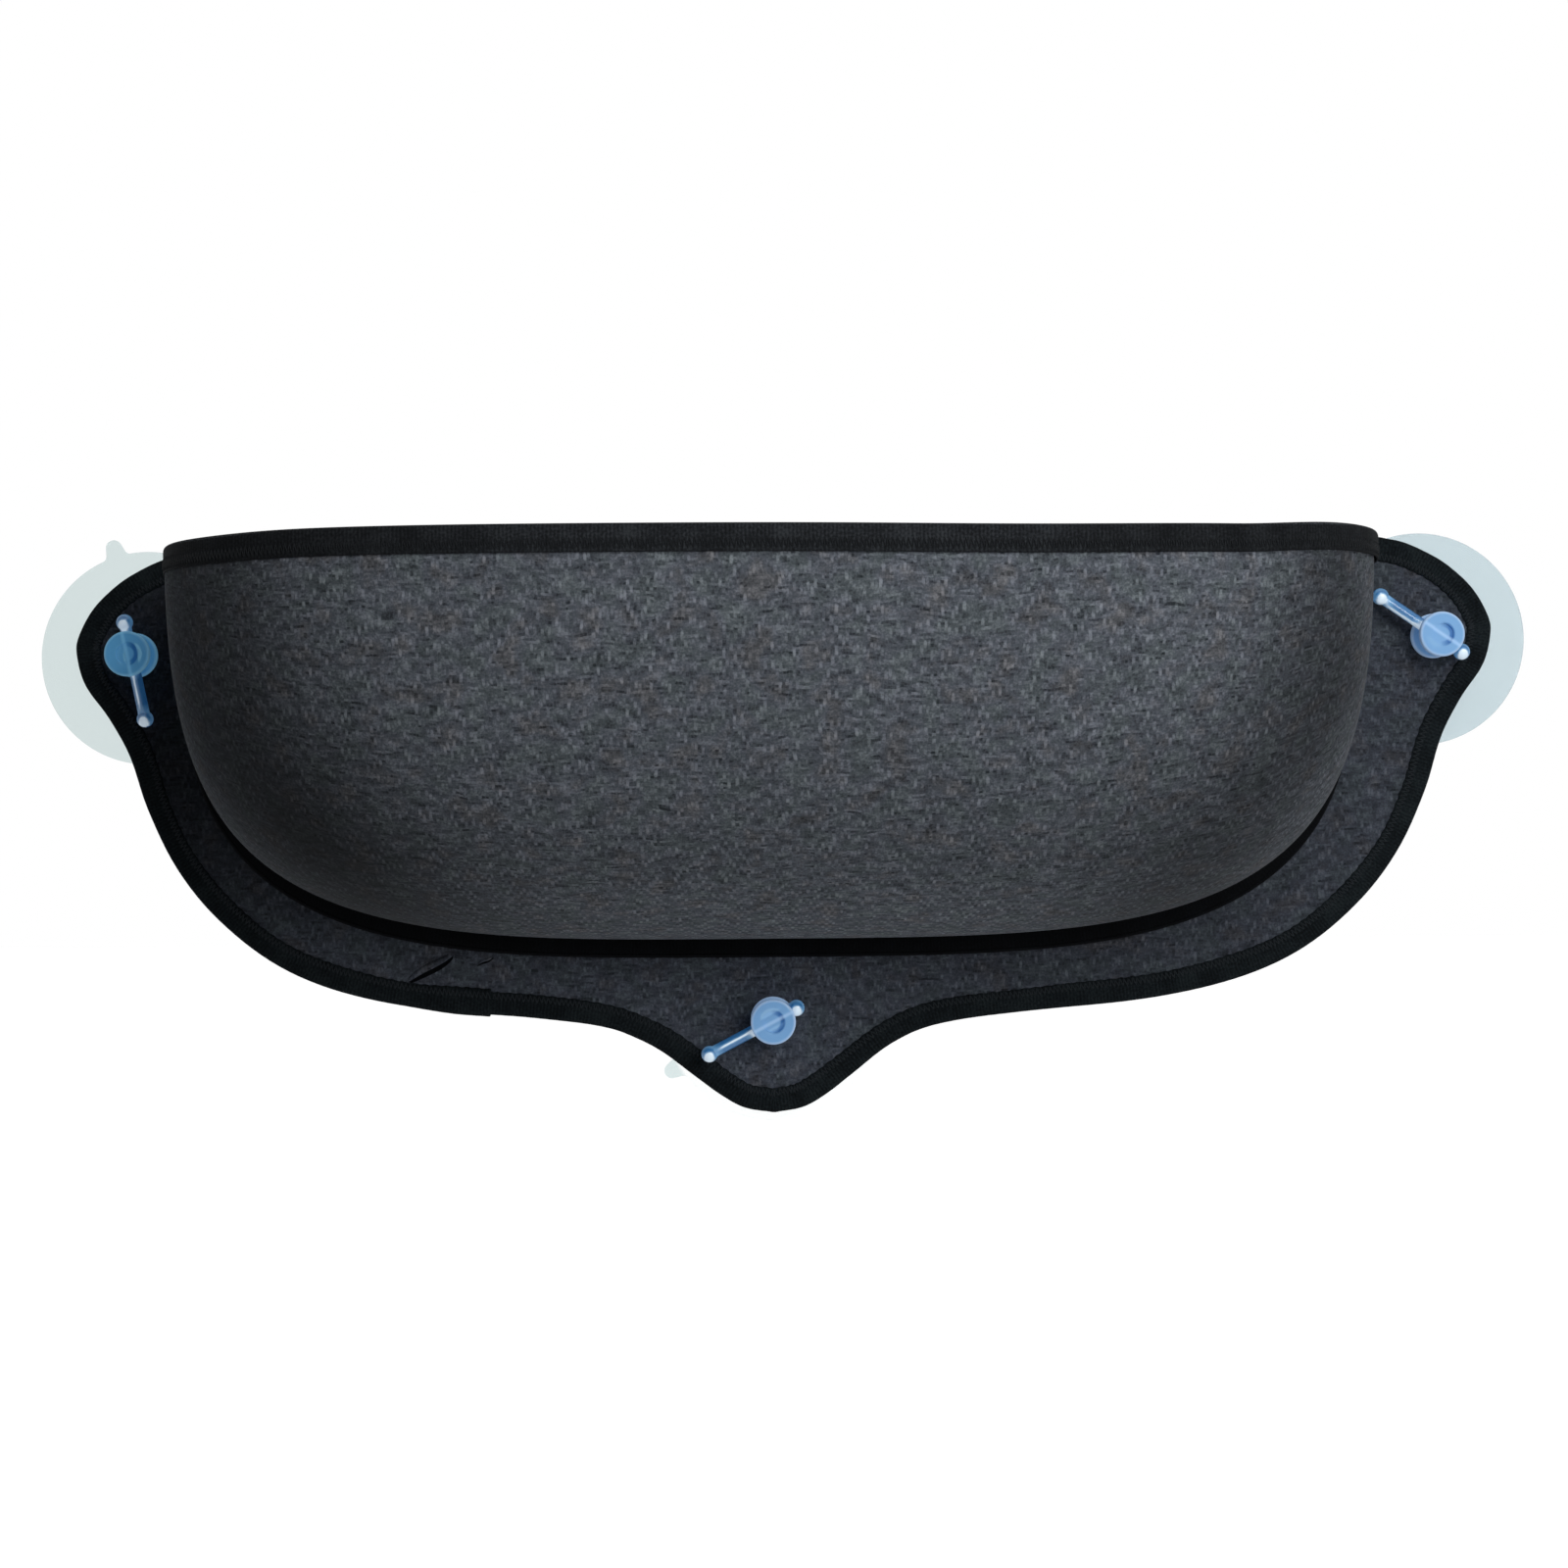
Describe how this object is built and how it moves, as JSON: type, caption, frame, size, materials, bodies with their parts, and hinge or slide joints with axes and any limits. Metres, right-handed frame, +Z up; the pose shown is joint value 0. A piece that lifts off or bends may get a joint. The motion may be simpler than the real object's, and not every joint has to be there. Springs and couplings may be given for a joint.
{
  "type": "window mounted cat perch",
  "caption": "Half-bowl padded cat perch on a backing panel, held to window glass by suction cups with cross pins.",
  "frame": {"origin": "where the axis of the bottom suction cup meets the glass", "axes": "+Z up, +X to the right as seen from the room, +Y into the glass; the room and the pod are on the -Y side"},
  "size_m": [0.7194, 0.2162, 0.2835],
  "materials": {
    "pod_fabric": "matte",
    "panel_fabric": "matte",
    "binding_tape": "matte",
    "rim_tape": "matte",
    "moulded_foam": "matte",
    "stiff_board": "matte",
    "clear_pvc": "gloss",
    "blue_pvc": "gloss"
  },
  "bodies": {
    "perch": {"panel_core": "stiff_board", "panel_face_fabric": "panel_fabric", "panel_back_fabric": "panel_fabric", "panel_binding": "binding_tape", "pod_core": "moulded_foam", "pod_cover": "pod_fabric", "pod_lining": "pod_fabric", "rim_binding": "rim_tape", "seam_binding": "binding_tape"},
    "cup_left": {"left_cup": "clear_pvc"},
    "pin_left": {"left_pin": "blue_pvc"},
    "cup_right": {"right_cup": "clear_pvc"},
    "pin_right": {"right_pin": "blue_pvc"},
    "cup_bottom": {"bottom_cup": "clear_pvc"},
    "pin_bottom": {"bottom_pin": "blue_pvc"}
  },
  "joints": [
    {"name": "left_cup_swivel", "type": "hinge", "parent": "perch", "child": "cup_left", "pos_m": [-0.30063, 0, 0.17474], "axis": [0, -1, 0], "range_deg": [-230, 35]},
    {"name": "left_pin_slide", "type": "slide", "parent": "cup_left", "child": "pin_left", "axis": [0.1994, 0, -0.9799], "range_m": [-0.02, 0.0046]},
    {"name": "right_cup_swivel", "type": "hinge", "parent": "perch", "child": "cup_right", "pos_m": [0.31585, 0, 0.17959], "axis": [0, -1, 0], "continuous": true},
    {"name": "right_pin_slide", "type": "slide", "parent": "cup_right", "child": "pin_right", "axis": [-0.8241, 0, 0.5664], "range_m": [-0.0215, 0.0031]},
    {"name": "bottom_cup_swivel", "type": "hinge", "parent": "perch", "child": "cup_bottom", "pos_m": [0, 0, 0], "axis": [0, -1, 0], "range_deg": [-100, 225]},
    {"name": "bottom_pin_slide", "type": "slide", "parent": "cup_bottom", "child": "pin_bottom", "axis": [-0.887, 0, -0.4617], "range_m": [-0.023, 0.0016]}
  ]
}
